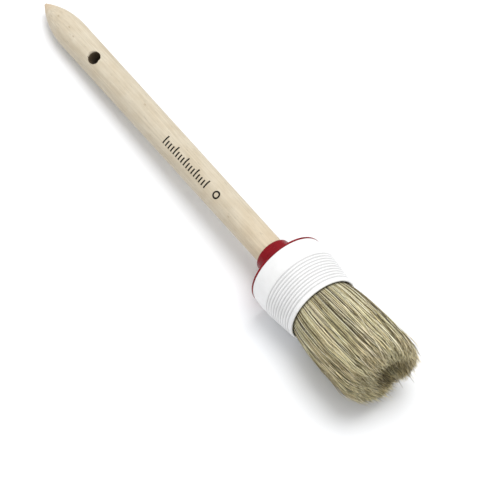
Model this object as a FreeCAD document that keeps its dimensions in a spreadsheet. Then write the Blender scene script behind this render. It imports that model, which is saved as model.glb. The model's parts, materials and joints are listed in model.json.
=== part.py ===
"""Round ring brush: a turned raw-wood handle, a plastic collar, a ribbed ferrule and bristles.

Every sub-part is drawn along its own X axis, which is the brush's axis: X is 0 at the
pointed end of the handle and grows towards the bristles.  One placement then lays the
whole brush on the ground the way it rests, on the widest ring of the ferrule and on the
shoulder of the handle.  Lengths are in millimetres and angles in degrees.
"""
import FreeCAD, Part
import Sketcher
import math
import os

DIMENSIONS = {
    # Handle: pointed nose, long ogive, shoulder, gentle taper, tang inside the collar.
    "nose_flat_radius": 0.4,
    "nose_length": 0.5,
    "nose_radius": 0.85,
    "shoulder_at": 26.0,
    "shoulder_radius": 7.8,
    "hole_at": 51.0,
    "hole_radius": 3.25,
    "hole_flare_depth": 1.05,
    "hole_flare_width": 1.4,
    "hole_cut_reach": 1.0,
    "handle_end_radius": 7.15,
    "tang_length": 24.0,
    "tang_tip_radius": 6.4,
    # Collar: neck, flange, skirt inside the ferrule and closed socket for the tang.
    "collar_at": 196.7,
    "neck_radius": 9.0,
    "neck_length": 11.0,
    "neck_round": 0.8,
    "flange_radius": 19.35,
    "flange_thickness": 0.9,
    "skirt_length": 7.0,
    "skirt_wall": 1.3,
    "web_thickness": 1.6,
    "socket_floor": 1.5,
    # Ferrule sleeve: plain band at the back, fine grooves towards the mouth.
    "sleeve_length": 27.5,
    "sleeve_wall": 1.1,
    "sleeve_back_radius": 19.25,
    "sleeve_edge_round": 0.35,
    "widest_at": 5.6,
    "widest_radius": 19.6,
    "rib_start_radius": 19.5,
    "mouth_radius": 17.8,
    "groove_first_at": 10.9,
    "groove_pitch": 1.56,
    "groove_width": 0.8,
    "groove_depth": 0.45,
    # Setting that holds the bristle roots, and the spacer that makes them a ring.
    "setting_depth": 7.0,
    "spacer_foot_radius": 8.6,
    "spacer_tip_radius": 5.0,
    "spacer_length": 22.0,
    # Bristles: distances are from the ferrule's mouth.
    "flare_at": 8.7,
    "flare_radius": 18.2,
    "belly_at": 23.0,
    "belly_radius": 19.1,
    "cheek_at": 38.0,
    "cheek_radius": 18.6,
    "brow_at": 44.5,
    "brow_radius": 16.0,
    "crown_at": 46.5,
    "crown_radius": 12.5,
    "hollow_radius": 8.0,
    "hollow_depth": 8.0,
    # The bristles bend in two places, each at a ball-shaped joint face.
    "heel_bend_behind_mouth": 8.0,
    "heel_bend_radius": 22.0,
    "tips_bend_past_mouth": 13.0,
    "tips_bend_radius": 23.5,
    "bend_gap": 0.4,
    # Common clearance between pieces that fit round each other.
    "fit_gap": 0.1,
    # Turn of the hanging hole about the brush's axis, away from straight up.
    "roll": 22.0,
}
GROOVE_COUNT = 10
GROOVE_FLOOR_SHARE = 0.5
FULL_TURN = 360.0


class Size:
    """A length that carries both its value and the sheet expression it comes from."""

    def __init__(self, value, text):
        self.value = value
        self.text = text

    def __add__(self, other):
        return Size(self.value + other.value, f"({self.text} + {other.text})")

    def __sub__(self, other):
        return Size(self.value - other.value, f"({self.text} - {other.text})")

    def __mul__(self, other):
        return Size(self.value * other.value, f"({self.text} * {other.text})")

    def __truediv__(self, other):
        return Size(self.value / other.value, f"({self.text} / {other.text})")


def plain(number):
    """Turn a bare number into a Size."""
    return Size(float(number), str(number))


ZERO = plain(0)


def fill_sheet(doc):
    """Write the driving dimensions into the sheet and return them as Sizes."""
    sheet = doc.addObject("Spreadsheet::Sheet", "dims")
    for row, (name, number) in enumerate(DIMENSIONS.items(), start=1):
        sheet.set(f"A{row}", name)
        sheet.set(f"B{row}", str(number))
        sheet.setAlias(f"B{row}", name)
    doc.recompute()
    return {name: Size(float(sheet.get(name)), f"dims.{name}") for name in DIMENSIONS}


def add_stations(d):
    """Work out the places along the axis, and the shared radii, that several pieces use."""
    d["flange_back"] = d["collar_at"] + d["neck_length"]
    d["flange_front"] = d["flange_back"] + d["flange_thickness"]
    d["skirt_end"] = d["flange_front"] + d["skirt_length"]
    d["mouth"] = d["flange_front"] + d["sleeve_length"]
    d["tang_end"] = d["collar_at"] + d["tang_length"]
    d["socket_end"] = d["tang_end"] + d["fit_gap"] + d["socket_floor"]
    d["setting_start"] = d["skirt_end"] + d["fit_gap"]
    d["setting_end"] = d["setting_start"] + d["setting_depth"]
    d["spacer_end"] = d["socket_end"] + d["spacer_length"]
    d["bristle_root"] = d["setting_end"] + d["fit_gap"]
    d["groove_first"] = d["flange_front"] + d["groove_first_at"]
    d["bore_back_radius"] = d["sleeve_back_radius"] - d["sleeve_wall"]
    d["bore_mouth_radius"] = d["mouth_radius"] - d["sleeve_wall"]
    d["heel_bend"] = d["mouth"] - d["heel_bend_behind_mouth"]
    d["tips_bend"] = d["mouth"] + d["tips_bend_past_mouth"]
    return d


def on_line(at, start, end):
    """Radius at a place along the straight line between two (place, radius) corners."""
    share = (at - start[0]) / (end[0] - start[0])
    return start[1] + (end[1] - start[1]) * share


def sleeve_bore(d, at):
    """Inner radius of the ferrule in front of the skirt."""
    back = (d["skirt_end"], d["bore_back_radius"])
    front = (d["mouth"], d["bore_mouth_radius"])
    return on_line(at, back, front)


def sleeve_outside(d, at):
    """Outer radius of the ribbed stretch of the ferrule."""
    back = (d["groove_first"], d["rib_start_radius"])
    front = (d["mouth"], d["mouth_radius"])
    return on_line(at, back, front)


def new_body(doc, name):
    body = doc.addObject("PartDesign::Body", name)
    body.Label = name
    return body


def new_sketch(body, name):
    """A sketch on the body's XZ plane: its X is along the brush, its Y is the radius."""
    sketch = body.newObject("Sketcher::SketchObject", name)
    plane = [item for item in body.Origin.OriginFeatures if item.Role == "XZ_Plane"][0]
    sketch.AttachmentSupport = [(plane, "")]
    sketch.MapMode = "FlatFace"
    return sketch


def bind(sketch, kind, arguments, size):
    """Add one distance constraint and tie it to the sheet."""
    index = sketch.addConstraint(Sketcher.Constraint(kind, *arguments, size.value))
    sketch.setExpression(f"Constraints[{index}]", f"{size.text} * 1 mm")


def place_point(sketch, edge, end, corner):
    """Hold one end of an edge at its corner's distances from the origin."""
    bind(sketch, "DistanceX", (-1, 1, edge, end), corner[0])
    bind(sketch, "DistanceY", (-1, 1, edge, end), corner[1])


def draw_outline(sketch, corners, arc_after=None):
    """Draw a closed outline through the corners.

    Edges are straight, except that the edge after corner number arc_after is an arc that
    ends level with the axis at the next corner.
    """
    first = sketch.GeometryCount
    count = len(corners)
    points = [FreeCAD.Vector(x.value, y.value, 0) for x, y in corners]
    for index, start in enumerate(points):
        end = points[(index + 1) % count]
        if index == arc_after:
            sketch.addGeometry(level_arc(start, end), False)
        else:
            sketch.addGeometry(Part.LineSegment(start, end), False)
    for index, corner in enumerate(corners):
        following = (index + 1) % count
        end_of_edge = 1 if index == arc_after else 2
        start_of_next = 2 if following == arc_after else 1
        joined = (first + index, end_of_edge, first + following, start_of_next)
        sketch.addConstraint(Sketcher.Constraint("Coincident", *joined))
        start_of_edge = 2 if index == arc_after else 1
        place_point(sketch, first + index, start_of_edge, corner)
    if arc_after is not None:
        centre_at = corners[arc_after + 1][0]
        bind(sketch, "DistanceX", (-1, 1, first + arc_after, 3), centre_at)


def level_arc(start, end):
    """Arc from start up to end whose tangent at end is parallel to the axis."""
    run = end.x - start.x
    rise = end.y - start.y
    radius = (run * run + rise * rise) / (2.0 * rise)
    centre = FreeCAD.Vector(end.x, end.y - radius, 0)
    circle = Part.Circle(centre, FreeCAD.Vector(0, 0, 1), radius)
    start_angle = math.atan2(start.y - centre.y, start.x - centre.x)
    return Part.ArcOfCircle(circle, math.pi / 2, start_angle)


def revolve(body, sketch, name):
    """Turn an outline about the brush's axis."""
    turned = body.newObject("PartDesign::Revolution", name)
    turned.Profile = sketch
    turned.ReferenceAxis = (sketch, ["H_Axis"])
    turned.Angle = FULL_TURN
    return turned


def groove(doc, body, sketch, name, axis="H_Axis"):
    """Cut a revolved outline out of the body, and make sure that it cut something."""
    doc.recompute()
    before = body.Shape.Volume
    cut = body.newObject("PartDesign::Groove", name)
    cut.Profile = sketch
    cut.ReferenceAxis = (sketch, [axis])
    cut.Angle = FULL_TURN
    doc.recompute()
    if body.Shape.Volume >= before:
        raise RuntimeError(f"{name} cuts nothing")


def circle_edges(shape, at, radius):
    """Names of the full circles of one radius at one place along the axis."""
    names = []
    for number, edge in enumerate(shape.Edges, start=1):
        curve = edge.Curve
        if not isinstance(curve, Part.Circle):
            continue
        if abs(curve.Radius - radius) < 0.01 and abs(curve.Center.x - at) < 0.01:
            names.append(f"Edge{number}")
    return names


def round_edges(doc, body, base, name, places, size):
    """Round the outer circles of the body at the given (place, radius) corners."""
    doc.recompute()
    edges = []
    for at, radius in places:
        edges += circle_edges(base.Shape, at.value, radius.value)
    rounding = body.newObject("PartDesign::Fillet", name)
    rounding.Base = (base, edges)
    rounding.setExpression("Radius", f"{size.text} * 1 mm")
    doc.recompute()


def make_handle(doc, d):
    """Turned wooden handle with a pointed end, a hanging hole and a hidden tang."""
    body = new_body(doc, "handle")
    outline = new_sketch(body, "handle_outline")
    corners = [
        (ZERO, ZERO),
        (ZERO, d["nose_flat_radius"]),
        (d["nose_length"], d["nose_radius"]),
        (d["shoulder_at"], d["shoulder_radius"]),
        (d["collar_at"], d["handle_end_radius"]),
        (d["tang_end"], d["tang_tip_radius"]),
        (d["tang_end"], ZERO),
    ]
    draw_outline(outline, corners, arc_after=2)
    revolve(body, outline, "turned_blank")
    cut_hanging_hole(doc, body, d)
    return body


def cut_hanging_hole(doc, body, d):
    """Drill the hole across the handle, flared a little where it meets the surface."""
    sketch = new_sketch(body, "hole_outline")
    reach = d["shoulder_radius"] + d["hole_cut_reach"]
    flare_start = d["shoulder_radius"] - d["hole_flare_depth"]
    flare_radius = d["hole_radius"] + d["hole_flare_width"]
    wall = d["hole_at"] + d["hole_radius"]
    corners = [
        (d["hole_at"], ZERO - reach),
        (d["hole_at"] + flare_radius, ZERO - reach),
        (wall, ZERO - flare_start),
        (wall, flare_start),
        (d["hole_at"] + flare_radius, reach),
        (d["hole_at"], reach),
    ]
    draw_outline(sketch, corners)
    drill_axis = len(corners) - 1
    groove(doc, body, sketch, "hanging_hole", f"Edge{drill_axis + 1}")


def make_collar(doc, d):
    """Plastic collar: neck, flange, skirt inside the ferrule and socket for the tang."""
    body = new_body(doc, "collar")
    outline = new_sketch(body, "collar_outline")
    gap = d["fit_gap"]
    skirt_radius = d["bore_back_radius"] - gap
    skirt_inside = skirt_radius - d["skirt_wall"]
    web_front = d["flange_front"] + d["web_thickness"]
    socket_bottom = d["tang_end"] + gap
    corners = [
        (d["collar_at"], d["handle_end_radius"] + gap),
        (d["collar_at"], d["neck_radius"]),
        (d["flange_back"], d["neck_radius"]),
        (d["flange_back"], d["flange_radius"]),
        (d["flange_front"], d["flange_radius"]),
        (d["flange_front"], skirt_radius),
        (d["skirt_end"], skirt_radius),
        (d["skirt_end"], skirt_inside),
        (web_front, skirt_inside),
        (web_front, d["neck_radius"]),
        (d["socket_end"], d["neck_radius"]),
        (d["socket_end"], ZERO),
        (socket_bottom, ZERO),
        (socket_bottom, d["tang_tip_radius"] + gap),
    ]
    draw_outline(outline, corners)
    blank = revolve(body, outline, "collar_moulding")
    rim = [(d["collar_at"], d["neck_radius"])]
    round_edges(doc, body, blank, "neck_rim", rim, d["neck_round"])
    return body


def make_sleeve(doc, d):
    """Ferrule sleeve: plain band at the back, then a row of fine grooves to the mouth."""
    body = new_body(doc, "ferrule_sleeve")
    outline = new_sketch(body, "sleeve_outline")
    corners = [
        (d["flange_front"], d["bore_back_radius"]),
        (d["flange_front"], d["sleeve_back_radius"]),
        (d["flange_front"] + d["widest_at"], d["widest_radius"]),
        (d["groove_first"], d["rib_start_radius"]),
        (d["mouth"], d["mouth_radius"]),
        (d["mouth"], d["bore_mouth_radius"]),
        (d["skirt_end"], d["bore_back_radius"]),
    ]
    draw_outline(outline, corners)
    blank = revolve(body, outline, "sleeve_moulding")
    rims = [(d["flange_front"], d["sleeve_back_radius"]), (d["mouth"], d["mouth_radius"])]
    round_edges(doc, body, blank, "sleeve_rims", rims, d["sleeve_edge_round"])
    grooves = new_sketch(body, "groove_outlines")
    for number in range(GROOVE_COUNT):
        draw_groove(grooves, d, d["groove_first"] + d["groove_pitch"] * plain(number))
    groove(doc, body, grooves, "rib_grooves")
    return body


def draw_groove(sketch, d, at):
    """One tapered groove outline, square to the axis and open to the outside."""
    top_half = d["groove_width"] / plain(2)
    floor_half = top_half * plain(GROOVE_FLOOR_SHARE)
    surface = sleeve_outside(d, at)
    top = surface + d["groove_depth"]
    floor = surface - d["groove_depth"]
    corners = [
        (at - floor_half, floor),
        (at - top_half, surface),
        (at - top_half, top),
        (at + top_half, top),
        (at + top_half, surface),
        (at + floor_half, floor),
    ]
    draw_outline(sketch, corners)


def make_setting(doc, d):
    """Hard ring of setting compound that holds the bristle roots in the ferrule."""
    body = new_body(doc, "root_setting")
    outline = new_sketch(body, "setting_outline")
    gap = d["fit_gap"]
    inside = d["neck_radius"] + gap
    corners = [
        (d["setting_start"], inside),
        (d["setting_start"], sleeve_bore(d, d["setting_start"]) - gap),
        (d["setting_end"], sleeve_bore(d, d["setting_end"]) - gap),
        (d["setting_end"], inside),
    ]
    draw_outline(outline, corners)
    revolve(body, outline, "setting_ring")
    return body


def make_spacer(doc, d):
    """Tapered plug on the socket's end that holds the bristles apart as a ring."""
    body = new_body(doc, "ring_spacer")
    outline = new_sketch(body, "spacer_outline")
    corners = [
        (d["socket_end"], ZERO),
        (d["socket_end"], d["spacer_foot_radius"]),
        (d["spacer_end"], d["spacer_tip_radius"]),
        (d["spacer_end"], ZERO),
    ]
    draw_outline(outline, corners)
    revolve(body, outline, "spacer_plug")
    return body


def make_bundle(doc, d):
    """The whole bristle ring, before it is divided where it bends."""
    body = new_body(doc, "bristle_bundle")
    outline = new_sketch(body, "bundle_outline")
    gap = d["fit_gap"]
    hollow_bottom = d["mouth"] + d["crown_at"] - d["hollow_depth"]
    inside_foot = (d["bristle_root"], d["spacer_foot_radius"] + gap)
    inside_tip = (d["spacer_end"] + gap, d["spacer_tip_radius"] + gap)
    corners = [
        inside_foot,
        (d["bristle_root"], sleeve_bore(d, d["bristle_root"]) - gap),
        (d["mouth"], d["bore_mouth_radius"] - gap),
        (d["mouth"] + d["flare_at"], d["flare_radius"]),
        (d["mouth"] + d["belly_at"], d["belly_radius"]),
        (d["mouth"] + d["cheek_at"], d["cheek_radius"]),
        (d["mouth"] + d["brow_at"], d["brow_radius"]),
        (d["mouth"] + d["crown_at"], d["crown_radius"]),
        (d["mouth"] + d["crown_at"], d["hollow_radius"]),
        (hollow_bottom, ZERO),
        (inside_tip[0], ZERO),
        inside_tip,
    ]
    draw_outline(outline, corners)
    revolve(body, outline, "bundle_mass")
    return body


def add_ball(doc, name, centre, radius):
    """A ball on the brush's axis, used to shape a bending face."""
    ball = doc.addObject("Part::Sphere", name)
    ball.setExpression("Radius", f"{radius.text} * 1 mm")
    ball.setExpression("Placement.Base.x", f"{centre.text} * 1 mm")
    return ball


def add_front_block(doc, d):
    """A cylinder that holds everything in front of the second bend's centre."""
    block = doc.addObject("Part::Cylinder", "front_block")
    block.setExpression("Radius", f"{d['belly_radius'].text} * 2 mm")
    block.setExpression("Height", f"{d['crown_at'].text} * 1 mm")
    along_axis = FreeCAD.Rotation(FreeCAD.Vector(0, 1, 0), 90)
    block.Placement = FreeCAD.Placement(FreeCAD.Vector(0, 0, 0), along_axis)
    block.setExpression("Placement.Base.x", f"{d['tips_bend'].text} * 1 mm")
    return block


def combine(doc, kind, name, base, tool):
    """One boolean of two shapes, labelled with its own name."""
    result = doc.addObject(f"Part::{kind}", name)
    result.Base = base
    result.Tool = tool
    result.Label = name
    return result


def divide_bristles(doc, d):
    """Divide the bundle into heel, belly and tips with ball-shaped faces between them."""
    bundle = make_bundle(doc, d)
    heel_ball = add_ball(doc, "heel_ball", d["heel_bend"], d["heel_bend_radius"])
    heel_room = add_ball(doc, "heel_room", d["heel_bend"], d["heel_bend_radius"] + d["bend_gap"])
    belly_ball = add_ball(doc, "belly_ball", d["tips_bend"], d["tips_bend_radius"])
    belly_room = add_ball(doc, "belly_room", d["tips_bend"], d["tips_bend_radius"] + d["bend_gap"])
    heel = combine(doc, "Common", "bristle_heel", bundle, heel_ball)
    belly_back = combine(doc, "Common", "belly_blank", bundle, belly_ball)
    belly = combine(doc, "Cut", "bristle_belly", belly_back, heel_room)
    tips_block = combine(doc, "Common", "tips_blank", bundle, add_front_block(doc, d))
    tips = combine(doc, "Cut", "bristle_tips", tips_block, belly_room)
    return [heel, belly, tips]


def resting_placement(d):
    """Lay the brush on the ground, on the ferrule's widest ring and the handle's shoulder."""
    ring_at = d["flange_front"].value + d["widest_at"].value
    ring_radius = d["widest_radius"].value
    run = ring_at - d["shoulder_at"].value
    tilt = math.asin((ring_radius - d["shoulder_radius"].value) / run)
    length = d["mouth"].value + d["crown_at"].value
    raise_axis = ring_radius * math.cos(tilt) - ring_at * math.sin(tilt)
    base = FreeCAD.Vector(-length * math.cos(tilt) / 2, 0, raise_axis)
    nose_down = FreeCAD.Rotation(FreeCAD.Vector(0, 1, 0), -math.degrees(tilt))
    turned = FreeCAD.Rotation(FreeCAD.Vector(1, 0, 0), d["roll"].value)
    return FreeCAD.Placement(base, nose_down.multiply(turned))


def check_and_write(doc, pieces):
    """Stop on anything that failed, then write each piece to its own STEP file."""
    for item in doc.Objects:
        if "Invalid" in item.State or "Error" in item.State:
            raise RuntimeError(f"{item.Name} failed: {item.State}")
    for piece in pieces:
        shape = piece.Shape
        if shape.isNull() or not shape.isValid() or len(shape.Solids) != 1:
            raise RuntimeError(f"{piece.Label} is not one valid solid")
    os.makedirs("parts", exist_ok=True)
    for piece in pieces:
        piece.Shape.exportStep(f"parts/{piece.Label}.step")
        print(piece.Label, round(piece.Shape.Volume, 1), piece.Shape.BoundBox)


def main():
    doc = FreeCAD.newDocument("ring_brush")
    d = add_stations(fill_sheet(doc))
    pieces = [
        make_handle(doc, d),
        make_collar(doc, d),
        make_sleeve(doc, d),
        make_setting(doc, d),
        make_spacer(doc, d),
    ]
    pieces += divide_bristles(doc, d)
    doc.recompute()
    lying = resting_placement(d)
    for piece in pieces:
        piece.Placement = lying
    doc.recompute()
    check_and_write(doc, pieces)


main()
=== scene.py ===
"""Looks of the round ring brush: raw wood, moulded plastics, printed marks and bristles."""
import json
import math

import bmesh
import bpy
import numpy as np
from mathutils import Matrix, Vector


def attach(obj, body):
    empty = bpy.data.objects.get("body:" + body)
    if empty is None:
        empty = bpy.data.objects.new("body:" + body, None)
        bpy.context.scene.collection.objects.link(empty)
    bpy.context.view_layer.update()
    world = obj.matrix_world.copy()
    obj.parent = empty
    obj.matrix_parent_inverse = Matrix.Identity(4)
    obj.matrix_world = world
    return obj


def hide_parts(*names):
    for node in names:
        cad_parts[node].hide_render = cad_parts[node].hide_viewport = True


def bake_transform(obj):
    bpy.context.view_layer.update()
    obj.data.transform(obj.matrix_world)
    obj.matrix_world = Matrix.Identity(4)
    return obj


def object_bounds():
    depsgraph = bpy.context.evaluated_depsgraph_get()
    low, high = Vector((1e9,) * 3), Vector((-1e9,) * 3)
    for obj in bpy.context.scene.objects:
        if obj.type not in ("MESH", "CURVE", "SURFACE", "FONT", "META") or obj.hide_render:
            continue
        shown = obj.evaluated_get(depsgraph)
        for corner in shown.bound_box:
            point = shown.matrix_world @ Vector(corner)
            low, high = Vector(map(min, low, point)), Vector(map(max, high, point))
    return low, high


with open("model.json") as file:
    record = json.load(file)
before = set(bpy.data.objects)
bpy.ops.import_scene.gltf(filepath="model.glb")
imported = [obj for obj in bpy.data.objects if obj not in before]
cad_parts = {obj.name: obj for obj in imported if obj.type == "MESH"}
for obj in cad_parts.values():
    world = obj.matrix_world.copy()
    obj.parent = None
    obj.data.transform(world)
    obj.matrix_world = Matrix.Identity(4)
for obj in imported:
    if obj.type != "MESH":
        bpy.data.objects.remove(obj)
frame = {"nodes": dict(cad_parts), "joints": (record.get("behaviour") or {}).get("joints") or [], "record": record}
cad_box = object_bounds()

MM = 0.001

# Handle: places along it from the nose, and radii. Specks are (along, across) in millimetres.
NOSE_LENGTH = 0.5 * MM
NOSE_RADIUS = 0.85 * MM
SHOULDER_AT = 26.0 * MM
HANDLE_END_RADIUS = 7.15 * MM
TANG_TIP_RADIUS = 6.4 * MM
HOLE_CHIP = 0.85 * MM
HANDLE_SEGMENTS = 144
SPECK_PLACES = ((12.5, -1.8), (16.5, 0.9), (27.0, 1.1), (33.0, -0.6), (92.0, 3.0), (170.0, -3.5))
SPECK_COLOUR = (0.30, 0.21, 0.12)
RING_SPACING = 1.7 * MM
RING_WANDER = 11.0 * MM

# Collar and ferrule.
NECK_RADIUS = 9.0 * MM
NECK_LENGTH = 11.0 * MM
FLANGE_THICKNESS = 0.9 * MM
SKIRT_LENGTH = 7.0 * MM
SKIRT_WALL = 1.3 * MM
PLATE_THICKNESS = 1.6 * MM
SLEEVE_WALL = 1.1 * MM
SLEEVE_BACK_RADIUS = 19.25 * MM
WIDEST_AT = 5.6 * MM
FIRST_GROOVE_RADIUS = 19.5 * MM
MOUTH_RADIUS = 17.8 * MM
GROOVE_COUNT = 10
GROOVE_FIRST_AT = 10.9 * MM
GROOVE_PITCH = 1.56 * MM
GROOVE_DEPTH = 0.5 * MM
GROOVE_HALF_WIDTH = 0.42 * MM
# Painted shade in the grooves: how far their white is greyed.
GROOVE_PAINTED_SHADE = 0.7
RING_SEGMENTS = 160

# Printed marks: plain ticks and a ring, on the side of the handle that the hole opens to.
TICKS_START = 115.0 * MM
TICK_COUNT = 17
TICK_PITCH = 2.12 * MM
TICK_WIDTH = 0.85 * MM
TICK_LONG = 4.6 * MM
TICK_SHORT = 3.1 * MM
MARKS_OFFSET = -0.9 * MM
RING_MARK_AT = 157.3 * MM
RING_MARK_OUTER = 2.1 * MM
RING_MARK_INNER = 1.2 * MM
INK_LIFT = 0.03 * MM

# Bristles. Places are past the ferrule's mouth. Stations, radii, lengths, curls, waves and the
# hook are in millimetres where MM isn't given; bands, shares and tones go from 0 to 1.
ROOT_AT = -5.0 * MM
BEND_SPLIT = 19.0 * MM
OUTER_STRANDS = 4000
INNER_STRANDS = 4000
OUTER_BAND = (0.82, 1.0)
INNER_BAND = (0.0, 0.83)
STRAY_SHARE = 0.07
PALE_SHARE = 0.22
DARK_SHARE = 0.22
STRAND_RADIUS = 0.165 * MM
STRAND_SIDES = 3
GOLDEN_STEP = 0.6180339887
PLACE_SPREAD = 0.012
LENGTH_SPREAD = 0.9
STRAY_LENGTH = 2.4
CURL = 0.6
STRAY_CURL = 1.8
WAVE_RANGE = (0.06, 0.30)
WAVE_TURNS = (1.2, 3.6)
HOOK = 0.45
HOOK_FROM = 0.84
TONE_MEAN = 0.46
TONE_SPREAD = 0.23
PALE_TONES = (0.8, 1.0)
DARK_TONES = (0.03, 0.20)
HOLLOW_OFFSET = 0.12
TUFT_LEAN = 1.3 * MM
INNER_START = 25.0 * MM
OUTER_STATIONS = (-6.0, 0.0, 3.0, 6.0, 12.0, 18.0, 23.0, 30.0, 37.0, 41.0, 44.0, 48.0)
OUTER_RADII = (15.8, 16.1, 17.1, 17.7, 18.3, 18.7, 18.9, 18.6, 18.3, 17.7, 16.5, 14.6)
HOLLOW_STATIONS = (-6.0, 0.0, 18.0, 34.0, 48.0)
HOLLOW_RADII = (7.5, 7.5, 6.0, 3.0, 2.0)
LENGTH_SHARES = (0.0, 0.2, 0.4, 0.52, 0.62, 0.72, 0.82, 0.92, 1.0)
LENGTHS = (38.5, 39.5, 41.8, 44.0, 45.5, 45.8, 45.2, 44.2, 43.0)
DENT_DEPTH = 2.6 * MM
DENT_ANGLE = -1.5
DENT_WIDTH = 0.32
CORE_DEPTH = 1.7 * MM
CORE_SHOULDER = 35.0 * MM
CORE_END = ((38.5, 14.3), (39.5, 12.5), (38.0, 10.5), (34.0, 7.5), (31.0, 3.5))
UPPER_SHARES = (0.0, 0.16, 0.32, 0.47, 0.61, 0.74, 0.85, 0.93, 1.0)
INNER_SHARES = (0.0, 0.25, 0.47, 0.65, 0.79, 0.90, 1.0)
SEED = 47

# Camera and light.
CAMERA_AZIMUTH = 54.74
CAMERA_ELEVATION = 55.88
CAMERA_DISTANCE = 0.9508
CAMERA_AIM = (0.0485, -0.0076, 0.020)
CAMERA_LENS = 150.0
OVERHEAD_STRENGTH = 1.65
OVERHEAD_WIDTH = 38.0
OVERHEAD_LEAN = 14.0


def unit(vector):
    """The same direction with length one."""
    return vector / np.linalg.norm(vector)


def record_mount(name):
    """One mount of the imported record."""
    return next(mount for mount in frame["record"]["mounts"] if mount["name"] == name)


def joint_place(name):
    """Where a joint's centre is, in the row frame."""
    joint = next(joint for joint in frame["joints"] if joint["name"] == name)
    return np.array(joint["pos_m"], float)


class BrushAxis:
    """The brush's own frame: x along it from the nose, z towards the open side of the hole."""

    def __init__(self):
        near = joint_place("belly_bend")
        far = joint_place("tips_bend")
        hole_axis = np.array(record_mount("hanging_hole")["axis"], float)
        self.x = unit(far - near)
        self.z = unit(hole_axis - self.x * (hole_axis @ self.x))
        self.y = np.cross(self.z, self.x)
        self.nose = near - self.x * ((near - self.vertices("handle")) @ self.x).max()

    @staticmethod
    def vertices(node):
        """Vertices of a CAD node, in the row frame."""
        mesh = frame["nodes"][node].data
        places = np.empty(len(mesh.vertices) * 3)
        mesh.vertices.foreach_get("co", places)
        return places.reshape(-1, 3)

    def to_local(self, places):
        """Row-frame points in the brush's own frame."""
        return (places - self.nose) @ np.stack([self.x, self.y, self.z], axis=1)

    def to_row(self, places):
        """Points of the brush's own frame in the row frame."""
        return self.nose + places @ np.stack([self.x, self.y, self.z])

    def span(self, node):
        """Where a CAD node starts and ends along the brush, and its largest radius."""
        local = self.to_local(self.vertices(node))
        radius = np.hypot(local[:, 1], local[:, 2]).max()
        return local[:, 0].min(), local[:, 0].max(), radius


brush = BrushAxis()
TANG_END, SHOULDER_RADIUS = brush.span("handle")[1:]
COLLAR_AT = brush.span("collar")[0]
FLANGE_RADIUS = brush.span("collar")[2]
SLEEVE_AT, MOUTH, SLEEVE_RADIUS = brush.span("ferrule_sleeve")


# ---------------------------------------------------------------- mesh building


def new_piece(name, local_places, faces, material, attributes=None):
    """A smooth mesh piece from points in the brush's own frame.

    The points are kept as the attribute "local" too, which the materials read.
    """
    mesh = bpy.data.meshes.new(name)
    row_places = brush.to_row(np.asarray(local_places, float))
    mesh.from_pydata(row_places.tolist(), [], faces)
    keep = mesh.attributes.new("local", "FLOAT_VECTOR", "POINT")
    keep.data.foreach_set("vector", np.asarray(local_places, np.float32).ravel())
    for key, numbers in (attributes or {}).items():
        made = mesh.attributes.new(key, "FLOAT", "POINT")
        made.data.foreach_set("value", np.asarray(numbers, np.float32))
    mesh.polygons.foreach_set("use_smooth", [True] * len(mesh.polygons))
    mesh.materials.append(material)
    mesh.update()
    piece = bpy.data.objects.new(name, mesh)
    bpy.context.scene.collection.objects.link(piece)
    return piece


def ring_points(profile, segments):
    """Points of a profile of (along, radius) turned about the axis."""
    angles = np.linspace(0.0, 2.0 * math.pi, segments, endpoint=False)
    along = np.array([at for at, radius in profile])
    radii = np.array([radius for at, radius in profile])
    x = np.repeat(along, segments)
    y = np.outer(radii, np.cos(angles)).ravel()
    z = np.outer(radii, np.sin(angles)).ravel()
    return np.stack([x, y, z], axis=1)


def ring_faces(rings, segments, closed):
    """Quads between neighbouring rings, and from the last ring to the first if closed."""
    faces = []
    for ring in range(rings if closed else rings - 1):
        low = ring * segments
        high = (ring + 1) % rings * segments
        for step in range(segments):
            following = (step + 1) % segments
            faces.append((low + step, low + following, high + following, high + step))
    return faces


def lathe(name, profile, material, segments=RING_SEGMENTS, closed=True):
    """A piece turned from a profile: a closed section, or an open line with capped ends."""
    points = ring_points(profile, segments)
    faces = ring_faces(len(profile), segments, closed)
    if not closed:
        last = (len(profile) - 1) * segments
        faces.append(tuple(range(segments)))
        faces.append(tuple(range(last + segments - 1, last - 1, -1)))
    piece = new_piece(name, points, faces, material)
    face_outwards(piece)
    piece.data.set_sharp_from_angle(angle=math.radians(50))
    return piece


def face_outwards(piece):
    """Make every normal point out of the solid."""
    mesh = bmesh.new()
    mesh.from_mesh(piece.data)
    bmesh.ops.recalc_face_normals(mesh, faces=mesh.faces)
    mesh.to_mesh(piece.data)
    mesh.free()


def quarter_turn(centre, radius, start_degrees, end_degrees, steps=5):
    """Points on a small arc of a profile, for a rounded corner."""
    points = []
    for step in range(steps + 1):
        angle = math.radians(start_degrees + (end_degrees - start_degrees) * step / steps)
        along = centre[0] + radius * math.cos(angle)
        points.append((along, centre[1] + radius * math.sin(angle)))
    return points


# ---------------------------------------------------------------- materials


def node(tree, kind, values=None, **settings):
    """Add a shader node, with its inputs set to numbers or linked to other sockets."""
    made = tree.nodes.new("ShaderNode" + kind)
    for key, value in settings.items():
        setattr(made, key, value)
    for key, value in (values or {}).items():
        if isinstance(value, bpy.types.NodeSocket):
            tree.links.new(value, made.inputs[key])
        else:
            made.inputs[key].default_value = value
    return made


def start_material(name):
    """A material with one Principled shader; returns it, its tree and the shader."""
    material = bpy.data.materials.new(name)
    material.use_nodes = True
    tree = material.node_tree
    shader = next(item for item in tree.nodes if item.type == "BSDF_PRINCIPLED")
    return material, tree, shader


def attribute(tree, name, output="Vector"):
    return node(tree, "Attribute", attribute_name=name).outputs[output]


def stretched(tree, vector, scale):
    """A vector scaled along the brush and across it by different amounts."""
    return node(tree, "Mapping", {"Vector": vector, "Scale": scale}).outputs["Vector"]


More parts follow.
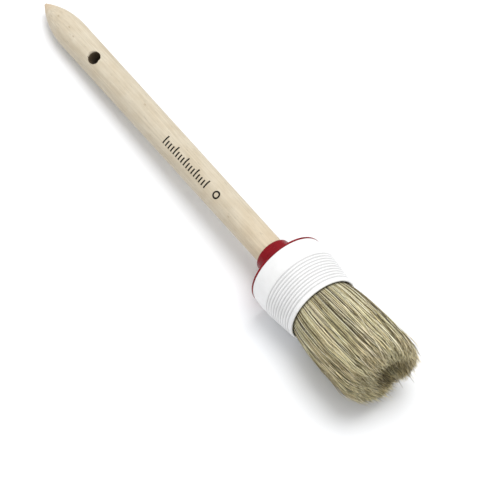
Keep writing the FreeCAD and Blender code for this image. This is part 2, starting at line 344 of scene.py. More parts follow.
def noise(tree, vector, scale=1.0, detail=4.0, roughness=0.55, distortion=0.0):
    values = {
        "Vector": vector,
        "Scale": scale,
        "Detail": detail,
        "Roughness": roughness,
        "Distortion": distortion,
    }
    return node(tree, "TexNoise", values).outputs["Fac"]


def ramp(tree, factor, stops):
    """A colour ramp through (place, colour) stops."""
    made = node(tree, "ValToRGB", {"Fac": factor})
    elements = made.color_ramp.elements
    while len(elements) < len(stops):
        elements.new(0.5)
    for element, (place, colour) in zip(elements, stops):
        element.position = place
        element.color = (*colour, 1.0)
    return made.outputs["Color"]


def grey_ramp(tree, factor, stops):
    """A ramp of plain numbers, returned as a colour socket."""
    return ramp(tree, factor, [(place, (value,) * 3) for place, value in stops])


def mix(tree, factor, first, second, blend="MIX"):
    """Mix two colours."""
    made = tree.nodes.new("ShaderNodeMix")
    made.data_type = "RGBA"
    made.blend_type = blend
    for socket, value in ((made.inputs[0], factor), (made.inputs[6], first), (made.inputs[7], second)):
        if isinstance(value, bpy.types.NodeSocket):
            tree.links.new(value, socket)
        elif isinstance(value, tuple):
            socket.default_value = (*value, 1.0)
        else:
            socket.default_value = value
    return made.outputs[2]


def maths(tree, operation, first, second=0.0, third=0.0):
    made = node(tree, "Math", {0: first, 1: second, 2: third}, operation=operation)
    return made.outputs[0]


def bump(tree, shader, height, distance, strength=1.0):
    values = {"Height": height, "Distance": distance, "Strength": strength}
    made = node(tree, "Bump", values)
    tree.links.new(made.outputs["Normal"], shader.inputs["Normal"])


def wood_material(name, pale, fibre, figure, on_cad_node=False):
    """Raw turned wood: long fibres, faint growth figure, blotches and short pores.

    A CAD node has no attribute "local", so its wood follows the object's coordinates.
    """
    material, tree, shader = start_material(name)
    placed = node(tree, "TexCoord").outputs["Object"]
    local = placed if on_cad_node else attribute(tree, "local")
    fibres = noise(tree, stretched(tree, local, (28, 1500, 1500)), detail=5.0)
    blotches = noise(tree, stretched(tree, local, (95, 210, 210)), detail=4.0)
    wander = noise(tree, stretched(tree, local, (16, 60, 60)), detail=2.0)
    depth = node(tree, "SeparateXYZ", {"Vector": local}).outputs["Z"]
    wandering = maths(tree, "MULTIPLY_ADD", wander, RING_WANDER, depth)
    rings = maths(tree, "SINE", maths(tree, "MULTIPLY", wandering, 2.0 * math.pi / RING_SPACING))
    rings = maths(tree, "MULTIPLY_ADD", rings, 0.5, 0.5)
    pores = noise(tree, stretched(tree, local, (240, 2600, 2600)), detail=2.0)
    colour = ramp(tree, fibres, [(0.34, fibre), (0.62, pale)])
    colour = mix(tree, maths(tree, "MULTIPLY", rings, 0.22), colour, figure)
    shade = ramp(tree, blotches, [(0.34, (0.90, 0.865, 0.81)), (0.60, (1.0, 1.0, 1.0))])
    colour = mix(tree, 0.8, colour, shade, "MULTIPLY")
    flecks = grey_ramp(tree, pores, [(0.27, 0.66), (0.36, 1.0)])
    colour = mix(tree, 0.8, colour, flecks, "MULTIPLY")
    return material, tree, shader, local, colour, fibres, pores


def handle_wood():
    """The handle's wood, tinted at the nose and the collar, with painted shade inside the hole."""
    made = wood_material("raw_wood", (0.685, 0.61, 0.483), (0.585, 0.517, 0.40), (0.545, 0.467, 0.345))
    material, tree, shader, local, colour, fibres, pores = made
    along = node(tree, "SeparateXYZ", {"Vector": local}).outputs["X"]
    share = maths(tree, "DIVIDE", along, COLLAR_AT)
    tint_stops = [(0.0, (1.0, 0.84, 0.70)), (0.05, (1.0, 1.0, 1.0)), (0.25, (0.93, 0.935, 0.93))]
    tint = ramp(tree, share, tint_stops + [(0.85, (0.93, 0.93, 0.92)), (1.0, (1.0, 0.95, 0.87))])
    colour = mix(tree, 0.8, colour, tint, "MULTIPLY")
    colour = mix(tree, maths(tree, "MULTIPLY", specks(tree, local), 0.55), colour, SPECK_COLOUR)
    # Painted shade: the wood inside the hole is darkened where little light reaches.
    colour = mix(tree, attribute(tree, "bore", "Fac"), colour, (0.085, 0.06, 0.035))
    tree.links.new(colour, shader.inputs["Base Color"])
    rough = grey_ramp(tree, fibres, [(0.3, 0.62), (0.7, 0.78)])
    tree.links.new(rough, shader.inputs["Roughness"])
    height = maths(tree, "MULTIPLY_ADD", pores, 0.6, fibres)
    bump(tree, shader, height, 0.05 * MM, 0.5)
    shader.inputs["Specular IOR Level"].default_value = 0.35
    return material


def specks(tree, local):
    """Small dark specks at a few places on the handle, each longer than it is wide."""
    total = None
    for along, across in SPECK_PLACES:
        centre = node(
            tree,
            "VectorMath",
            {0: local, 1: (along * MM, across * MM, SHOULDER_RADIUS)},
            operation="SUBTRACT",
        ).outputs["Vector"]
        squeezed = stretched(tree, centre, (900, 1900, 260))
        far = node(tree, "VectorMath", {0: squeezed}, operation="LENGTH").outputs["Value"]
        speck = grey_ramp(tree, far, [(0.25, 1.0), (0.95, 0.0)])
        total = speck if total is None else maths(tree, "MAXIMUM", total, speck)
    return total


def spacer_wood():
    """Rougher, darker wood of the hidden spacer."""
    colours = ((0.50, 0.39, 0.25), (0.36, 0.26, 0.15), (0.33, 0.23, 0.13))
    made = wood_material("spacer_wood", *colours, on_cad_node=True)
    material, tree, shader, local, colour, fibres, pores = made
    tree.links.new(colour, shader.inputs["Base Color"])
    bump(tree, shader, fibres, 0.08 * MM, 0.6)
    shader.inputs["Roughness"].default_value = 0.8
    return material


def red_plastic():
    """Glossy deep red moulding with faint flow marks and small scuffs."""
    material, tree, shader = start_material("red_plastic")
    local = attribute(tree, "local")
    flow = noise(tree, stretched(tree, local, (180, 260, 260)), detail=3.0, distortion=0.6)
    colour = ramp(tree, flow, [(0.3, (0.185, 0.003, 0.008)), (0.7, (0.25, 0.006, 0.012))])
    tree.links.new(colour, shader.inputs["Base Color"])
    scuffs = noise(tree, stretched(tree, local, (2400, 500, 500)), detail=5.0)
    tree.links.new(grey_ramp(tree, scuffs, [(0.35, 0.16), (0.75, 0.34)]), shader.inputs["Roughness"])
    bump(tree, shader, flow, 0.06 * MM, 0.35)
    shader.inputs["Specular IOR Level"].default_value = 0.15
    return material


def white_plastic():
    """White ferrule plastic: almost clean, with painted shade down in the grooves, faint moulding bloom."""
    material, tree, shader = start_material("white_plastic")
    local = attribute(tree, "local")
    bloom = noise(tree, stretched(tree, local, (90, 130, 130)), detail=3.0)
    colour = ramp(tree, bloom, [(0.3, (0.80, 0.80, 0.795)), (0.7, (0.86, 0.86, 0.857))])
    # Painted shade: the grooves are greyed towards mid grey.
    colour = mix(tree, attribute(tree, "groove", "Fac"), colour, (0.50, 0.50, 0.50))
    tree.links.new(colour, shader.inputs["Base Color"])
    grain = noise(tree, local, scale=2600.0, detail=2.0)
    tree.links.new(grey_ramp(tree, grain, [(0.3, 0.30), (0.7, 0.44)]), shader.inputs["Roughness"])
    bump(tree, shader, grain, 0.012 * MM, 0.5)
    shader.inputs["Subsurface Weight"].default_value = 0.12
    shader.inputs["Subsurface Radius"].default_value = (1.0, 1.0, 1.0)
    shader.inputs["Subsurface Scale"].default_value = 0.5 * MM
    return material


def setting_compound():
    """Dark hard compound round the bristle roots."""
    material, tree, shader = start_material("setting_compound")
    place = node(tree, "TexCoord").outputs["Object"]
    cloud = noise(tree, place, scale=420.0, detail=5.0)
    tree.links.new(
        ramp(tree, cloud, [(0.3, (0.05, 0.032, 0.02)), (0.7, (0.12, 0.08, 0.05))]),
        shader.inputs["Base Color"],
    )
    tree.links.new(grey_ramp(tree, cloud, [(0.3, 0.35), (0.7, 0.6)]), shader.inputs["Roughness"])
    bump(tree, shader, cloud, 0.2 * MM, 0.6)
    return material


def ink():
    """Dark printing ink, worn thin by the wood's fibres."""
    material, tree, shader = start_material("printing_ink")
    local = attribute(tree, "local")
    fibres = noise(tree, stretched(tree, local, (90, 2600, 2600)), detail=4.0)
    colour = ramp(tree, fibres, [(0.5, (0.010, 0.008, 0.006)), (0.85, (0.08, 0.06, 0.04))])
    tree.links.new(colour, shader.inputs["Base Color"])
    tree.links.new(grey_ramp(tree, fibres, [(0.3, 0.5), (0.7, 0.75)]), shader.inputs["Roughness"])
    bump(tree, shader, fibres, 0.02 * MM, 0.4)
    shader.inputs["Specular IOR Level"].default_value = 0.15
    return material


def bristle_material(name, painted_shade_scale):
    """Natural bristle: every strand has its own tone, with painted shade at the root inside and at the ferrule's
    mouth, and palest at its tip; a scale below one darkens the whole colour as painted shade.
    """
    material, tree, shader = start_material(name)
    tone = attribute(tree, "tone", "Fac")
    reach = attribute(tree, "reach", "Fac")
    local = attribute(tree, "local")
    flecks = noise(tree, stretched(tree, local, (260, 900, 900)), detail=3.0)
    mottled = maths(tree, "MULTIPLY_ADD", maths(tree, "SUBTRACT", flecks, 0.5), 0.14, tone)
    stops = [
        (0.02, (0.040, 0.028, 0.015)),
        (0.22, (0.240, 0.195, 0.098)),
        (0.48, (0.670, 0.590, 0.335)),
        (0.78, (0.880, 0.805, 0.510)),
        (1.00, (0.960, 0.920, 0.710)),
    ]
    # A scale below one darkens the whole colour as painted shade.
    colour = ramp(tree, mottled, [(place, tuple(c * painted_shade_scale for c in rgb)) for place, rgb in stops])
    # Painted shade: strands are darkened inside the ferrule and just past its mouth; the paler tips are the
    # bristle's own colour.
    root_shade_and_pale_tips = grey_ramp(tree, reach, [(0.0, 0.3), (0.10, 0.38), (0.125, 0.76), (0.4, 0.95), (1.0, 1.08)])
    colour = mix(tree, 1.0, colour, root_shade_and_pale_tips, "MULTIPLY")
    patches = noise(tree, stretched(tree, local, (55, 130, 130)), detail=2.0)
    tints = ramp(tree, patches, [(0.40, (1.0, 0.965, 0.95)), (0.58, (0.99, 1.0, 0.98))])
    colour = mix(tree, 1.0, colour, tints, "MULTIPLY")
    tree.links.new(colour, shader.inputs["Base Color"])
    tree.links.new(grey_ramp(tree, flecks, [(0.3, 0.36), (0.7, 0.56)]), shader.inputs["Roughness"])
    bump(tree, shader, flecks, 0.02 * MM, 0.4)
    return material


def core_shade_material():
    """Painted shade: a dark stand-in for the shaded inside of the bristle mass, seen only through gaps between
    strands.
    """
    material, tree, shader = start_material("bristle_shade_core")
    local = attribute(tree, "local")
    streaks = noise(tree, stretched(tree, local, (45, 1500, 1500)), detail=4.0)
    colour = ramp(tree, streaks, [(0.35, (0.050, 0.037, 0.021)), (0.7, (0.28, 0.225, 0.13))])
    tree.links.new(colour, shader.inputs["Base Color"])
    bump(tree, shader, streaks, 0.25 * MM, 0.8)
    shader.inputs["Roughness"].default_value = 0.85
    return material


def floor_material():
    """Plain pale studio sweep, very slightly uneven."""
    material, tree, shader = start_material("studio_floor")
    place = node(tree, "TexCoord").outputs["Object"]
    cloud = noise(tree, place, scale=3.0, detail=2.0)
    colour = ramp(tree, cloud, [(0.3, (0.885, 0.895, 0.915)), (0.7, (0.905, 0.915, 0.935))])
    tree.links.new(colour, shader.inputs["Base Color"])
    shader.inputs["Roughness"].default_value = 0.9
    shader.inputs["Specular IOR Level"].default_value = 0.1
    return material


# ---------------------------------------------------------------- handle


def handle_radius(along):
    """Radius of the handle: rounded nose, long ogive to the shoulder, taper, hidden tang."""
    if along < NOSE_LENGTH:
        share = along / NOSE_LENGTH
        return NOSE_RADIUS * math.sqrt(max(1.0 - (1.0 - share) ** 2, 0.0))
    if along < SHOULDER_AT:
        run = SHOULDER_AT - NOSE_LENGTH
        rise = SHOULDER_RADIUS - NOSE_RADIUS
        arc = (run * run + rise * rise) / (2.0 * rise)
        return SHOULDER_RADIUS - arc + math.sqrt(arc * arc - (SHOULDER_AT - along) ** 2)
    if along < COLLAR_AT:
        share = (along - SHOULDER_AT) / (COLLAR_AT - SHOULDER_AT)
        return SHOULDER_RADIUS + (HANDLE_END_RADIUS - SHOULDER_RADIUS) * share
    share = (along - COLLAR_AT) / (TANG_END - COLLAR_AT)
    return HANDLE_END_RADIUS + (TANG_TIP_RADIUS - HANDLE_END_RADIUS) * share


def handle_profile():
    """Rings close together at the nose and the hole, wider apart along the grip."""
    nose = np.linspace(0.04 * MM, NOSE_LENGTH, 6, endpoint=False)
    ogive = np.linspace(NOSE_LENGTH, SHOULDER_AT, 40, endpoint=False)
    grip = np.linspace(SHOULDER_AT, COLLAR_AT, 120, endpoint=False)
    tang = np.linspace(COLLAR_AT, TANG_END, 12)
    places = np.concatenate([nose, ogive, grip, tang])
    return [(at, handle_radius(at)) for at in places]


def hole_cutter():
    """The drill that makes the hanging hole, with a rim chipped where it leaves the wood."""
    mount = record_mount("hanging_hole")
    radius = mount["dims"]["r_mm"] * MM
    half = mount["dims"]["length_mm"] * MM / 2.0
    reach = SHOULDER_RADIUS + 1.0 * MM
    stations = [(-reach, 2.4), (-half - 0.4 * MM, 0.5), (-half, 0.0)]
    stations += [(-depth, chip) for depth, chip in reversed(stations)]
    hole_at = brush.to_local(np.array(mount["pos_m"], float))[0]
    segments = 72
    points = []
    for depth, chip in stations:
        for step in range(segments):
            angle = 2.0 * math.pi * step / segments
            ring_radius = radius + HOLE_CHIP * chip * chipping(angle, depth)
            x = hole_at + ring_radius * math.cos(angle)
            points.append((x, ring_radius * math.sin(angle), depth))
    faces = ring_faces(len(stations), segments, closed=False)
    last = (len(stations) - 1) * segments
    faces.append(tuple(range(segments - 1, -1, -1)))
    faces.append(tuple(range(last, last + segments)))
    cutter = new_piece("hole_drill", points, faces, bpy.data.materials["raw_wood"])
    face_outwards(cutter)
    return cutter, hole_at, radius


def chipping(angle, depth):
    """How far the hole's rim is chipped away at an angle, different on its two sides."""
    turned = angle + (0.9 if depth > 0.0 else 2.3)
    ragged = 0.16 * math.sin(5.0 * turned) + 0.12 * math.sin(9.0 * turned + 1.0)
    return 0.62 + 0.30 * math.cos(2.0 * turned) + ragged + 0.08 * math.sin(17.0 * turned)


def drill(piece, cutter):
    """Cut the cutter out of the piece for good, then throw the cutter away."""
    cut = piece.modifiers.new("hole", "BOOLEAN")
    cut.operation = "DIFFERENCE"
    cut.solver = "EXACT"
    cut.object = cutter
    evaluated = piece.evaluated_get(bpy.context.evaluated_depsgraph_get())
    mesh = bpy.data.meshes.new_from_object(evaluated)
    piece.modifiers.remove(cut)
    piece.data = mesh
    bpy.data.objects.remove(cutter)


def make_handle(material):
    """Turned handle with its hanging hole; the attribute "bore" marks the wood inside the hole, which its material
    darkens as painted shade.
    """
    handle = lathe("turned_handle", handle_profile(), material, HANDLE_SEGMENTS, closed=False)
    cutter, hole_at, radius = hole_cutter()
    drill(handle, cutter)
    mesh = handle.data
    places = np.empty(len(mesh.vertices) * 3)
    mesh.vertices.foreach_get("co", places)
    local = brush.to_local(places.reshape(-1, 3))
    from_hole = np.hypot(local[:, 0] - hole_at, local[:, 1])
    # The attribute "bore" marks where the material paints shade inside the hole.
    inside = (from_hole < radius + 0.05 * MM).astype(np.float32)
    mesh.attributes["local"].data.foreach_set("vector", local.astype(np.float32).ravel())
    mesh.attributes.new("bore", "FLOAT", "POINT").data.foreach_set("value", inside)
    mesh.set_sharp_from_angle(angle=math.radians(40))
    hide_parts("handle")
    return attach(handle, "grip")


def surface_patch(points, faces, along_cells, across_cells, corner, size):
    """Add one curved patch on the handle's surface to the lists of points and faces."""
    first = len(points)
    for i in range(along_cells + 1):
        for j in range(across_cells + 1):
            across = corner[1] + size[1] * j / across_cells
            along = corner[0] + size[0] * i / along_cells
            points.append(on_handle(along, across))
    row = across_cells + 1
    for i in range(along_cells):
        for j in range(across_cells):
            start = first + i * row + j
            faces.append((start, start + 1, start + row + 1, start + row))


def on_handle(along, across):
    """The point just above the handle's surface at a distance across from its top line."""
    radius = handle_radius(along) + INK_LIFT
    angle = across / radius
    return (along, radius * math.sin(angle), radius * math.cos(angle))


def make_printed_marks(material):
    """A row of plain ticks and one ring, printed where such handles carry their print."""
    points = []
    faces = []
    for number in range(TICK_COUNT):
        length = TICK_LONG if number % 4 == 0 else TICK_SHORT
        corner = (TICKS_START + number * TICK_PITCH, MARKS_OFFSET - TICK_LONG / 2.0)
        surface_patch(points, faces, 1, 8, corner, (TICK_WIDTH, length))
    add_ring_mark(points, faces)
    marks = new_piece("printed_marks", points, faces, material)
    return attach(marks, "grip")


def add_ring_mark(points, faces):
    """A plain printed ring after the ticks."""
    segments = 40
    first = len(points)
    for radius in (RING_MARK_INNER, RING_MARK_OUTER):
        for step in range(segments):
            angle = 2.0 * math.pi * step / segments
            along = RING_MARK_AT + radius * math.cos(angle)
            points.append(on_handle(along, MARKS_OFFSET + radius * math.sin(angle)))
    for step in range(segments):
        following = (step + 1) % segments
        inner = (first + step, first + following)
        outer = (first + segments + following, first + segments + step)
        faces.append((*inner, *outer))


# ---------------------------------------------------------------- collar and ferrule


def collar_profile():
    """Section of the collar: rounded neck rim, fillet into the flange, rounded flange rim."""
    bore = HANDLE_END_RADIUS + 0.1 * MM
    rim = 0.9 * MM
    fillet = 1.0 * MM
    edge = 0.2 * MM
    flange_back = COLLAR_AT + NECK_LENGTH
    flange_front = flange_back + FLANGE_THICKNESS
    skirt = SLEEVE_BACK_RADIUS - SLEEVE_WALL - 0.1 * MM
    inside_front = flange_front + SKIRT_LENGTH
    plate = flange_front + PLATE_THICKNESS
    profile = [(COLLAR_AT + 0.25 * MM, bore), (COLLAR_AT, bore + 0.3 * MM)]
    profile += quarter_turn((COLLAR_AT + rim, NECK_RADIUS - rim), rim, 180, 90, 7)
    profile += quarter_turn((flange_back - fillet, NECK_RADIUS + fillet), fillet, -90, 0, 6)
    profile += quarter_turn((flange_back + edge, FLANGE_RADIUS - edge), edge, 180, 90, 4)
    profile += quarter_turn((flange_front - edge, FLANGE_RADIUS - edge), edge, 90, 0, 4)
    profile += [(flange_front, skirt), (inside_front, skirt), (inside_front, skirt - SKIRT_WALL)]
    profile += [(plate, skirt - SKIRT_WALL), (plate, NECK_RADIUS)]
    return profile + [(TANG_END, NECK_RADIUS), (TANG_END, TANG_TIP_RADIUS + 0.1 * MM)]


def make_collar(material):
    collar = lathe("moulded_collar", collar_profile(), material)
    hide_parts("collar")
    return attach(collar, "grip")


def sleeve_radius(past_back):
    """Outer radius of the sleeve, without its grooves, at a distance from its back edge."""
    length = MOUTH - SLEEVE_AT
    stations = [0.0, WIDEST_AT, GROOVE_FIRST_AT, 0.72 * length, length]
    halfway = MOUTH_RADIUS + (FIRST_GROOVE_RADIUS - MOUTH_RADIUS) * 0.5
    radii = [SLEEVE_BACK_RADIUS, SLEEVE_RADIUS, FIRST_GROOVE_RADIUS, halfway, MOUTH_RADIUS]
    return float(np.interp(past_back, stations, radii))


def groove_depth(past_back):
    """How deep the nearest groove is here, from 0 to 1."""
    nearest = round((past_back - GROOVE_FIRST_AT) / GROOVE_PITCH)
    nearest = min(max(nearest, 0), GROOVE_COUNT - 1)
    away = abs(past_back - GROOVE_FIRST_AT - nearest * GROOVE_PITCH)
    return max(0.0, 1.0 - (away / GROOVE_HALF_WIDTH) ** 2)


def sleeve_profile():
    """Section of the sleeve: rounded edges, plain band, grooves, and the bore behind."""
    edge = 0.35 * MM
    length = MOUTH - SLEEVE_AT
    bore_back = SLEEVE_BACK_RADIUS - SLEEVE_WALL
    profile = [(SLEEVE_AT, bore_back)]
    profile += quarter_turn((SLEEVE_AT + edge, sleeve_radius(edge) - edge), edge, 180, 90, 4)
    step = 0.11 * MM
    for past_back in np.arange(edge + step, length - 0.6 * MM, step):
        radius = sleeve_radius(past_back) - GROOVE_DEPTH * groove_depth(past_back)
        profile.append((SLEEVE_AT + past_back, radius))
    lip = 0.5 * MM
    profile += quarter_turn((MOUTH - lip, MOUTH_RADIUS - lip), lip, 85, -85, 8)
    return profile + [(SLEEVE_AT + 7.0 * MM, bore_back)]


def make_sleeve(material):
    """Ribbed sleeve, with the depth of the grooves kept for its material, which greys them as painted shade."""
    profile = sleeve_profile()
    sleeve = lathe("ribbed_ferrule", profile, material)
    groove_shades = []
    for at, radius in profile:
        outside = radius > SLEEVE_BACK_RADIUS - 2.2 * MM
        # Groove depth times the painted shade in the grooves.
        groove_shades.append(groove_depth(at - SLEEVE_AT) * GROOVE_PAINTED_SHADE if outside else 0.0)
    numbers = np.repeat(np.array(groove_shades, np.float32), RING_SEGMENTS)
    made = sleeve.data.attributes.new("groove", "FLOAT", "POINT")
    made.data.foreach_set("value", numbers)
    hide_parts("ferrule_sleeve")
    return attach(sleeve, "grip")


# ---------------------------------------------------------------- bristles


def outer_reach(past_mouth):
    """Radius of the outside of the bristle mass."""
    return np.interp(past_mouth, np.array(OUTER_STATIONS) * MM, np.array(OUTER_RADII) * MM)


def inner_reach(past_mouth):
    """Radius of the hollow inside the bristle ring."""
    return np.interp(past_mouth, np.array(HOLLOW_STATIONS) * MM, np.array(HOLLOW_RADII) * MM)


def strand_length(fraction, angle):
    """How far past the mouth a strand ends: short at the hollow, with a dent underneath."""
    sideways = np.cos(angle)
    longer_side = (1.1 + 0.9 * sideways) * MM * np.abs(sideways) * fraction
    from_dent = np.angle(np.exp(1j * (angle - DENT_ANGLE)))
    dent = DENT_DEPTH * np.exp(-((from_dent / DENT_WIDTH) ** 2))
    from_hollow = np.hypot(fraction * sideways - HOLLOW_OFFSET, fraction * np.sin(angle))
    return np.interp(from_hollow, LENGTH_SHARES, np.array(LENGTHS) * MM) + longer_side - dent


class Strands:
    """A set of bristles, each with its own place in the ring, length, curl and tone."""

    def __init__(self, count, lowest, highest, seed):
        random = np.random.default_rng(seed)
        self.count = count
        # Consecutive strands are a golden share of a turn apart, which fills the ring evenly.
        number = np.arange(count)
        jitter = random.normal(0.0, PLACE_SPREAD, count)
        share_out = np.clip((number + 0.5) / count + jitter, 0.0, 1.0)
        self.fraction = np.sqrt(lowest**2 + (highest**2 - lowest**2) * share_out)
        turn = (number * GOLDEN_STEP + random.uniform(0.0, 0.001, count)) % 1.0
        self.angle = 2.0 * math.pi * turn
        # Strays stick out of the mass; strands nearer the hollow are less orderly.
        stray = random.random(count) < STRAY_SHARE
        inner = np.clip(1.0 - self.fraction / 0.8, 0.0, 1.0)
        uneven = random.normal(0.0, 1.0, count) * (LENGTH_SPREAD + 1.1 * inner) * MM
        self.length = strand_length(self.fraction, self.angle) + uneven
        self.length += np.where(stray, random.uniform(0.0, STRAY_LENGTH, count), 0.0) * MM
        spread = np.where(stray, STRAY_CURL, CURL) * MM
        self.curl_out = random.normal(-0.2, 1.0, count) * spread * (1.0 + 1.5 * inner)
        self.curl_out = np.where(stray, np.abs(self.curl_out) * 0.8, self.curl_out)
        self.curl_round = random.normal(0.0, 1.7, count) * spread * (1.0 + 1.3 * inner)
        self.wave = random.uniform(*WAVE_RANGE, count) * MM * (1.0 + 1.2 * inner)
        self.phase = random.uniform(0.0, 2.0 * math.pi, count)
        self.turns = random.uniform(*WAVE_TURNS, count)
        self.hook = random.normal(0.0, 1.0, (count, 3)) * (HOOK + 1.6 * inner[:, None]) * MM
        self.hook[:, 0] = -np.abs(self.hook[:, 0])
        self.thickness = STRAND_RADIUS * random.uniform(0.7, 1.3, count)
        self.roll = random.uniform(0.0, 2.0 * math.pi, count)
        # Most strands have a middling tone, and some are very pale or very dark.
        self.tone = random.normal(TONE_MEAN, TONE_SPREAD, count)
        kind = random.random(count)
        self.tone = np.where(kind < PALE_SHARE, random.uniform(*PALE_TONES, count), self.tone)
        dark = kind > 1.0 - DARK_SHARE
        self.tone = np.where(dark, random.uniform(*DARK_TONES, count), self.tone)

    def centre_line(self, past_mouth):
        """Points of every strand; past_mouth holds one row of distances for each strand."""
        share = np.clip((past_mouth - ROOT_AT) / (self.length[:, None] - ROOT_AT), 0.0, 1.0)
        inside = inner_reach(past_mouth)
        radius = inside + (outer_reach(past_mouth) - inside) * self.fraction[:, None]
        waving = self.wave[:, None] * share
        turn = 2.0 * math.pi * self.turns[:, None] * share + self.phase[:, None]
        radius = radius + self.curl_out[:, None] * share**3 + waving * np.sin(turn)
        angle = self.angle[:, None]
        sideways = self.curl_round[:, None] * share**1.5 + waving * np.cos(turn)
        y = radius * np.cos(angle) - sideways * np.sin(angle)
        z = radius * np.sin(angle) + sideways * np.cos(angle)
        hooked = np.clip((share - HOOK_FROM) / (1.0 - HOOK_FROM), 0.0, 1.0) ** 2
        x = MOUTH + past_mouth + self.hook[:, None, 0] * hooked
        y = y + TUFT_LEAN * share**2.5 + self.hook[:, None, 1] * hooked
        z = z + self.hook[:, None, 2] * hooked
        return np.stack([x, y, z], axis=2), share

    def stretch(self, start, shares):
        """Distances past the mouth from a common start to every strand's own end."""
        return start + (self.length[:, None] - start) * np.array(shares)[None, :]

    def tubes(self, past_mouth, capped):
        """Points, faces, tone and reach of thin tapering tubes along these distances."""
        line, share = self.centre_line(past_mouth)
        rings = past_mouth.shape[1]
        taper = (1.0 - 0.25 * share) * (1.0 - 0.65 * np.clip((share - 0.9) / 0.1, 0, 1))
        thickness = self.thickness[:, None] * taper
        corners = np.arange(STRAND_SIDES) * 2.0 * math.pi / STRAND_SIDES
        around = self.roll[:, None, None] + corners[None, None, :]
        offset_y = thickness[:, :, None] * np.cos(around)
        offset_z = thickness[:, :, None] * np.sin(around)
        points = np.repeat(line[:, :, None, :], STRAND_SIDES, axis=2)
        points[..., 1] += offset_y
        points[..., 2] += offset_z
        tone = np.repeat(np.clip(self.tone, 0.0, 1.0), rings * STRAND_SIDES)
        reach = np.repeat(share.ravel(), STRAND_SIDES)
        return points.reshape(-1, 3), self.tube_faces(rings, capped), tone, reach

    def tube_faces(self, rings, capped):
        """Quads along every tube, and a small cap at its outer end if it ends there."""
        strand = np.arange(self.count)[:, None, None] * rings * STRAND_SIDES
        ring = np.arange(rings - 1)[None, :, None] * STRAND_SIDES
        side = np.arange(STRAND_SIDES)[None, None, :]
        following = (side + 1) % STRAND_SIDES
        low = strand + ring
        high = low + STRAND_SIDES
        quads = np.stack([low + side, low + following, high + following, high + side], axis=3)
        caps = strand[:, 0, :] + (rings - 1) * STRAND_SIDES + side[0]
        return quads.reshape(-1, 4).tolist() + (caps.tolist() if capped else [])


def strand_piece(name, strands, past_mouth, material, capped=True):
    """One mesh piece of many bristles."""
    points, faces, tone, reach = strands.tubes(past_mouth, capped)
    piece = new_piece(name, points, faces, material, {"tone": tone, "reach": reach})
    return piece


def bend_lower(piece):
    """Bake a piece's placement into its mesh."""
    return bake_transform(piece)


def bend_upper(piece):
    """Bake a piece's placement into its mesh."""
    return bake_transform(piece)


def core_profile(start, end, steps):
    """Outside of the shaded core between two places."""
    profile = []
    for past_mouth in np.linspace(start, end, steps):
        profile.append((MOUTH + past_mouth, float(outer_reach(past_mouth)) - CORE_DEPTH))
    return profile


def make_core(material):
    """Dark mass under the outer strands, in two pieces."""
    # The core is painted shade: a dark stand-in for the shaded bristles under the outer strands.
    segments = 96
    lower_profile = core_profile(ROOT_AT, BEND_SPLIT, 18)
    lower = lathe("bristle_core_lower", lower_profile, material, segments, closed=False)
    upper_profile = core_profile(BEND_SPLIT, CORE_SHOULDER, 14)
    for past_mouth, radius in CORE_END:
        upper_profile.append((MOUTH + past_mouth * MM, radius * MM))
    upper = lathe("bristle_core_upper", upper_profile, material, segments, closed=False)
    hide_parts("bristle_belly")
    bend_lower(lower)
    bend_upper(upper)


def make_bristles():
    """Outer strands from the ferrule to their tips, and inner ones that fill the end."""
    # The inner strands get a copy of the bristle material darkened slightly as painted shade.
    sunlit = bristle_material("bristle_strands", 1.0)
    shaded = bristle_material("bristle_inner_strands_painted_shade", 0.97)
    outer = Strands(OUTER_STRANDS, *OUTER_BAND, SEED)
    lower_row = np.linspace(ROOT_AT, BEND_SPLIT, 7)
    lower_places = np.repeat(lower_row[None, :], outer.count, axis=0)
    lower = strand_piece("bristles_lower", outer, lower_places, sunlit, capped=False)
    upper_places = outer.stretch(BEND_SPLIT, UPPER_SHARES)
    upper = strand_piece("bristles_upper", outer, upper_places, sunlit)
    inner = Strands(INNER_STRANDS, *INNER_BAND, SEED + 1)
    inner_places = inner.stretch(INNER_START, INNER_SHARES)
    filling = strand_piece("bristles_inner", inner, inner_places, shaded)
    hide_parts("bristle_heel")
    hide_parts("bristle_tips")
    bend_lower(lower)
    bend_upper(upper)
    bend_upper(filling)


# ---------------------------------------------------------------- carried CAD nodes


def dress_node(name, material):
    """Give a CAD node that is shown as it is its own material."""
    mesh = frame["nodes"][name].data
    mesh.materials.clear()
    mesh.materials.append(material)


# ---------------------------------------------------------------- stage


def make_floor():
    """One large pale floor under the brush."""
    size = 6.0
    mesh = bpy.data.meshes.new("studio_floor")
    corners = [(-size, -size, 0), (size, -size, 0), (size, size, 0), (-size, size, 0)]
    mesh.from_pydata(corners, [], [(0, 1, 2, 3)])
    mesh.materials.append(floor_material())
    floor = bpy.data.objects.new("studio_floor", mesh)
    floor.location.z = cad_box[0].z
    bpy.context.scene.collection.objects.link(floor)


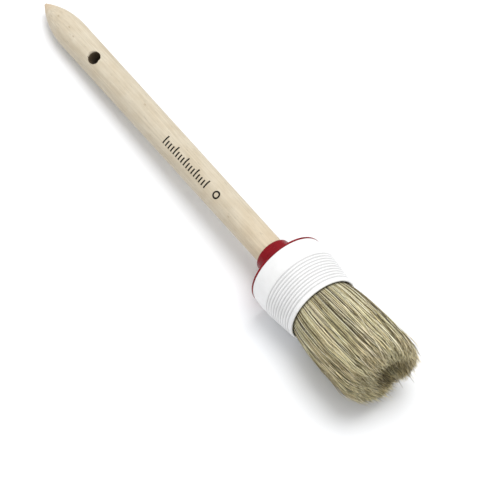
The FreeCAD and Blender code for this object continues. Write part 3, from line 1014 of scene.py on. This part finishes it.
def make_overhead_light():
    """A very wide soft light almost straight overhead, the same all over the floor."""
    data = bpy.data.lights.new("overhead", "SUN")
    data.energy = OVERHEAD_STRENGTH
    data.angle = math.radians(OVERHEAD_WIDTH)
    lamp = bpy.data.objects.new("overhead", data)
    lamp.rotation_euler = (math.radians(-OVERHEAD_LEAN), 0.0, 0.0)
    bpy.context.scene.collection.objects.link(lamp)


def make_world():
    """A white studio dome, brighter overhead; the camera sees an even white backdrop."""
    world = bpy.data.worlds.new("studio")
    world.use_nodes = True
    tree = world.node_tree
    tree.nodes.clear()
    direction = node(tree, "TexCoord").outputs["Generated"]
    height = node(tree, "SeparateXYZ", {"Vector": direction}).outputs["Z"]
    strength = maths(tree, "MULTIPLY_ADD", maths(tree, "MAXIMUM", height, 0.0), 0.62, 0.40)
    dome = node(tree, "Background", {"Color": (1, 1, 1, 1), "Strength": strength})
    backdrop = node(tree, "Background", {"Color": (1, 1, 1, 1), "Strength": 1.0})
    seen = node(tree, "LightPath").outputs["Is Camera Ray"]
    chosen = node(tree, "MixShader", {0: seen, 1: dome.outputs[0], 2: backdrop.outputs[0]})
    node(tree, "OutputWorld", {"Surface": chosen.outputs[0]})
    bpy.context.scene.world = world


def make_camera():
    """Camera at the height and turn from which the brush is seen lying point-up-left."""
    azimuth = math.radians(CAMERA_AZIMUTH)
    elevation = math.radians(CAMERA_ELEVATION)
    level = math.cos(elevation)
    back = Vector((math.sin(azimuth) * level, -math.cos(azimuth) * level, math.sin(elevation)))
    data = bpy.data.cameras.new("camera")
    data.lens = CAMERA_LENS
    data.sensor_width = 36.0
    data.clip_start = 0.01
    data.clip_end = 50.0
    camera = bpy.data.objects.new("camera", data)
    camera.location = Vector(CAMERA_AIM) + back * CAMERA_DISTANCE
    camera.rotation_mode = "QUATERNION"
    camera.rotation_quaternion = (-back).to_track_quat("-Z", "Y")
    bpy.context.scene.collection.objects.link(camera)
    bpy.context.scene.camera = camera


def make_stage():
    make_floor()
    make_world()
    make_camera()
    make_overhead_light()
    bpy.context.scene.view_settings.view_transform = "Standard"


def main():
    make_stage()
    wood = handle_wood()
    make_handle(wood)
    make_printed_marks(ink())
    make_collar(red_plastic())
    make_sleeve(white_plastic())
    dress_node("root_setting", setting_compound())
    dress_node("ring_spacer", spacer_wood())
    make_core(core_shade_material())
    make_bristles()


main()

bpy.context.view_layer.update()
